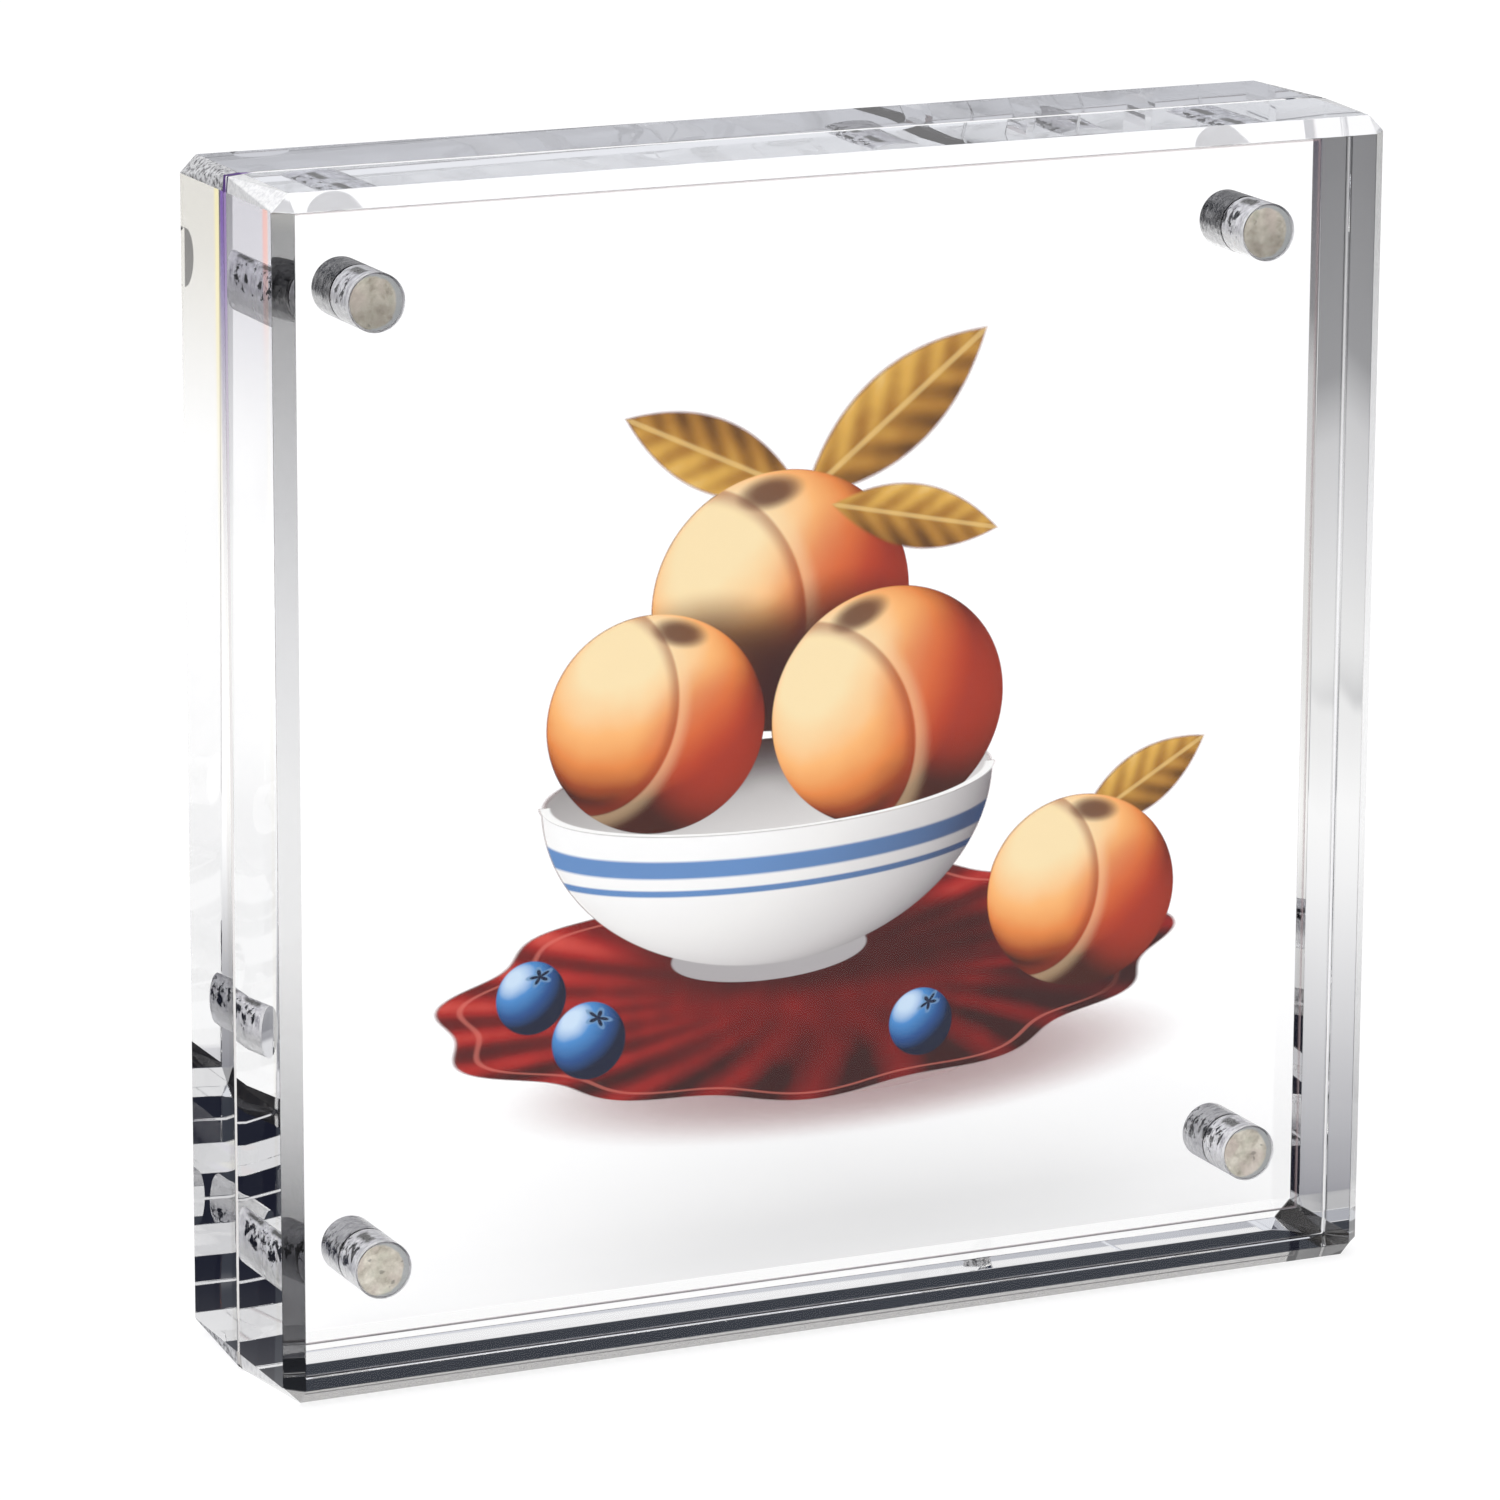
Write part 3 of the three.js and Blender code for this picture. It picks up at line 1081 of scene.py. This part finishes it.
def lathe(outline, centre):
    """A closed solid of revolution about Y from (radius, y) points, both ends on the axis."""
    bm = bmesh.new()
    turns = [2 * math.pi * i / ROUND_SIDES for i in range(ROUND_SIDES)]
    rings = []
    for radius, y in outline:
        if radius == 0:
            rings.append([bm.verts.new((0, y, 0))])
        else:
            rings.append([bm.verts.new((radius * math.cos(a), y, radius * math.sin(a))) for a in turns])
    for first, second in zip(rings, rings[1:]):
        for i in range(ROUND_SIDES):
            j = (i + 1) % ROUND_SIDES
            around = (
                first[i % len(first)],
                second[i % len(second)],
                second[j % len(second)],
                first[j % len(first)],
            )
            bm.faces.new(list(dict.fromkeys(around)))
    bmesh.ops.recalc_face_normals(bm, faces=bm.faces)
    for face in bm.faces:
        face.smooth = True
    bmesh.ops.translate(bm, verts=bm.verts, vec=centre)
    return bm


def rim_profile(radius, half, rim, steps=5):
    """(radius, y) points of a cylinder with rounded rims."""
    points = [(0, -half)]
    for end in (-1, 1):
        arc = []
        for i in range(steps + 1):
            angle = math.pi / 2 * i / steps
            out = radius - rim + rim * math.sin(angle)
            along = half - rim + rim * math.cos(angle)
            arc.append((out, end * along))
        points += arc if end < 0 else arc[::-1]
    points.append((0, half))
    return points


def make_magnet(half, corner, material):
    node = f"{half}_magnet_{corner}"
    low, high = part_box(node)
    outline = rim_profile(MAGNET_RADIUS, MAGNET_LENGTH / 2, MAGNET_RIM)
    bm = lathe(outline, (low + high) / 2)
    name = f"{half}_plated_magnet_{corner}"
    piece = add_piece(name, bm, material, f"{half}_half", node)
    piece.data.set_sharp_from_angle(angle=MAGNET_SHARP_ANGLE)


def make_glue(half, corner, material):
    node = f"{half}_adhesive_{corner}"
    low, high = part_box(node)
    outline = rim_profile(GLUE_RADIUS, GLUE_THICKNESS / 2, GLUE_RIM, steps=3)
    bm = lathe(outline, (low + high) / 2)
    add_piece(f"{half}_glue_{corner}", bm, material, f"{half}_half", node)


def seen_straight(tree):
    """1 for what the camera sees past the frame or straight through it, 0 for all other rays."""
    mirrored = light_path(tree, "Glossy Depth").math("GREATER_THAN", 0.5)
    scattered = light_path(tree, "Diffuse Depth").math("GREATER_THAN", 0.5)
    through = light_path(tree, "Is Transmission Ray") * (1.0 - mirrored) * (1.0 - scattered)
    return (light_path(tree, "Is Camera Ray") + through).clamped()


# How bright the pool of light is, from its middle to its rim and the floor beyond
POOL_LIGHT = (
    (0.18, (1.14, 1.14, 1.14)),
    (0.29, (1.04, 1.04, 1.04)),
    (0.38, (0.83, 0.83, 0.83)),
    (0.45, (0.77, 0.77, 0.77)),
    (0.52, (0.68, 0.68, 0.69)),
    (0.60, (0.58, 0.58, 0.59)),
    (0.66, (0.30, 0.30, 0.31)),
    (1.00, (0.20, 0.20, 0.21)),
)

# Patches painted on the floor over the pool: painted shade under the rear half, a darker painted shadow
# that spreads from its right foot, painted light at the right and dark painted shade beside its left
# foot
UNDER_PAINTED_SHADE = (0.45, 0.45, 0.50, 1.0)
FOOT_PAINTED_SHADOW = (0.26, 0.26, 0.29, 1.0)
RIGHT_PAINTED_LIGHT = (1.25, 1.25, 1.25, 1.0)
BESIDE_PAINTED_SHADE = (0.03, 0.035, 0.06, 1.0)


def pool_of_light(tree):
    """How bright the painted pool of light on the floor looks in polished faces: brightest before the
    frame, darker behind it.
    """
    x, y, _ = split_place(tree)
    across = (x - POOL_RIGHT) / POOL_SIDE
    back = (y - POOL_MIDDLE).most(0.0) / POOL_BACK
    front = (y - POOL_MIDDLE).least(0.0) / POOL_FRONT
    pool = (distance(across, back + front) / POOL_RIM).colours(*POOL_LIGHT)
    under = y.ramp(-1 * MM, 1 * MM) * y.ramp(20 * MM, 13 * MM) * 0.5
    dimmed = mixed(tree, under, pool, UNDER_PAINTED_SHADE)
    from_foot = distance(x - 50 * MM, y - 15 * MM)
    corner = from_foot.ramp(150 * MM, 0.0, smooth=False) * y.ramp(12.5 * MM, 14.5 * MM) * 0.95
    shaded = mixed(tree, corner, dimmed, FOOT_PAINTED_SHADOW)
    right = x.ramp(80 * MM, 140 * MM) * y.ramp(360 * MM, 280 * MM) * 0.9
    lit = mixed(tree, right, shaded, RIGHT_PAINTED_LIGHT)
    from_patch = distance(x + 100 * MM, y - 90 * MM)
    beside = from_patch.ramp(130 * MM, 70 * MM) * x.ramp(-50 * MM, -56 * MM)
    return mixed(tree, beside, lit, BESIDE_PAINTED_SHADE)


def make_floor():
    """A pale floor, white to the camera. Polished faces mirror the pool of light painted on it."""
    material, tree, output = new_material("floor")
    pale = shader(tree, "ShaderNodeBsdfDiffuse", Color=FLOOR_COLOUR)
    lift = shader(tree, "ShaderNodeEmission", Color=WHITE, Strength=FLOOR_LIFT)
    both = tree.nodes.new("ShaderNodeAddShader")
    tree.links.new(pale.outputs[0], both.inputs[0])
    tree.links.new(lift.outputs[0], both.inputs[1])
    pool = shader(tree, "ShaderNodeEmission", Color=pool_of_light(tree), Strength=1.0)
    seen = mix_shaders(tree, seen_straight(tree), pool, both)
    tree.links.new(seen.outputs[0], output.inputs["Surface"])
    mesh = bpy.data.meshes.new("floor")
    sides = ((-1, -1), (1, -1), (1, 1), (-1, 1))
    corners = [(x * FLOOR_REACH, y * FLOOR_REACH, -FLOOR_GAP) for x, y in sides]
    mesh.from_pydata(corners, [], [(0, 1, 2, 3)])
    mesh.materials.append(material)
    floor = new_object("floor", mesh)


# The studio from level to straight up: the backdrop behind the frame and the room before it, each with
# its soft boxes
BACKDROP = (
    (0.00, (0.36, 0.36, 0.37)),
    (0.25, (0.46, 0.46, 0.47)),
    (0.29, (0.045, 0.050, 0.062)),
    (0.39, (0.045, 0.050, 0.062)),
    (0.45, (0.50, 0.50, 0.52)),
    (0.68, (0.42, 0.42, 0.44)),
    (0.80, (0.26, 0.26, 0.28)),
    (0.90, (0.85, 0.85, 0.86)),
)
ROOM = (
    (0.00, (0.30, 0.30, 0.31)),
    (0.12, (0.010, 0.012, 0.022)),
    (0.40, (0.008, 0.008, 0.016)),
    (0.46, (0.50, 0.50, 0.52)),
    (0.58, (0.40, 0.40, 0.42)),
    (0.64, (0.10, 0.10, 0.12)),
    (0.76, (0.12, 0.12, 0.14)),
    (0.84, (0.85, 0.85, 0.86)),
)


def make_world():
    """A studio that is white to the camera. Polished faces mirror its backdrop and its darker room."""
    world = bpy.data.worlds.new("studio")
    world.use_nodes = True
    tree = world.node_tree
    tree.nodes.clear()
    output = tree.nodes.new("ShaderNodeOutputWorld")
    direction = Field(tree, tree.nodes.new("ShaderNodeTexCoord").outputs["Generated"])
    _, back, up = direction.parts()
    studio = mixed(tree, back.ramp(-0.35, 0.25), up.colours(*ROOM), up.colours(*BACKDROP))
    colour = mixed(tree, seen_straight(tree), studio, WHITE)
    light = shader(tree, "ShaderNodeBackground", Color=colour, Strength=1.0)
    tree.links.new(light.outputs[0], output.inputs["Surface"])
    bpy.context.scene.world = world


def make_key():
    """A soft lamp above and left of the camera. Mirrors and glass show the studio, not the lamp."""
    data = bpy.data.lights.new("key", "SUN")
    data.energy = KEY_STRENGTH
    data.angle = KEY_ANGLE
    key = new_object("key", data)
    towards = Vector((
        math.sin(KEY_AZIMUTH) * math.cos(KEY_HEIGHT),
        math.cos(KEY_AZIMUTH) * math.cos(KEY_HEIGHT),
        -math.sin(KEY_HEIGHT),
    ))
    key.rotation_euler = towards.to_track_quat("-Z", "Y").to_euler()
    key.visible_glossy = False
    key.visible_transmission = False


def allow_deep_paths():
    """Lets light turn often enough inside the blocks."""
    cycles = bpy.context.scene.cycles
    cycles.max_bounces = BOUNCES
    cycles.glossy_bounces = BOUNCES
    cycles.transmission_bounces = BOUNCES
    cycles.transparent_max_bounces = BOUNCES


allow_deep_paths()
make_camera()
make_world()
make_floor()
make_key()

acrylic = clear_acrylic("clear_acrylic", face_painted_light)
bevels = {
    "front": clear_acrylic("front_bevel_acrylic", front_bevel_marks_and_painted_light, cover=front_bevel_matt_and_highlight),
    "rear": clear_acrylic("rear_bevel_acrylic", rear_bevel_marks_and_painted_light, cover=rear_bevel_cover),
}
bores = clear_acrylic("bore_acrylic", bore_residue_and_painted_light, cover=bore_cover, finish=bore_finish)
plating = plating_material()
adhesive = adhesive_material()
for half, side in (("front", -1), ("rear", 1)):
    make_block(half, side, (acrylic, bevels[half], bores))
    for corner in CORNERS:
        make_magnet(half, corner, plating)
        make_glue(half, corner, adhesive)
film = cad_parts["picture_film"]
film.data.materials.clear()
film.data.materials.append(film_material())

bpy.context.scene.view_settings.view_transform = "Standard"
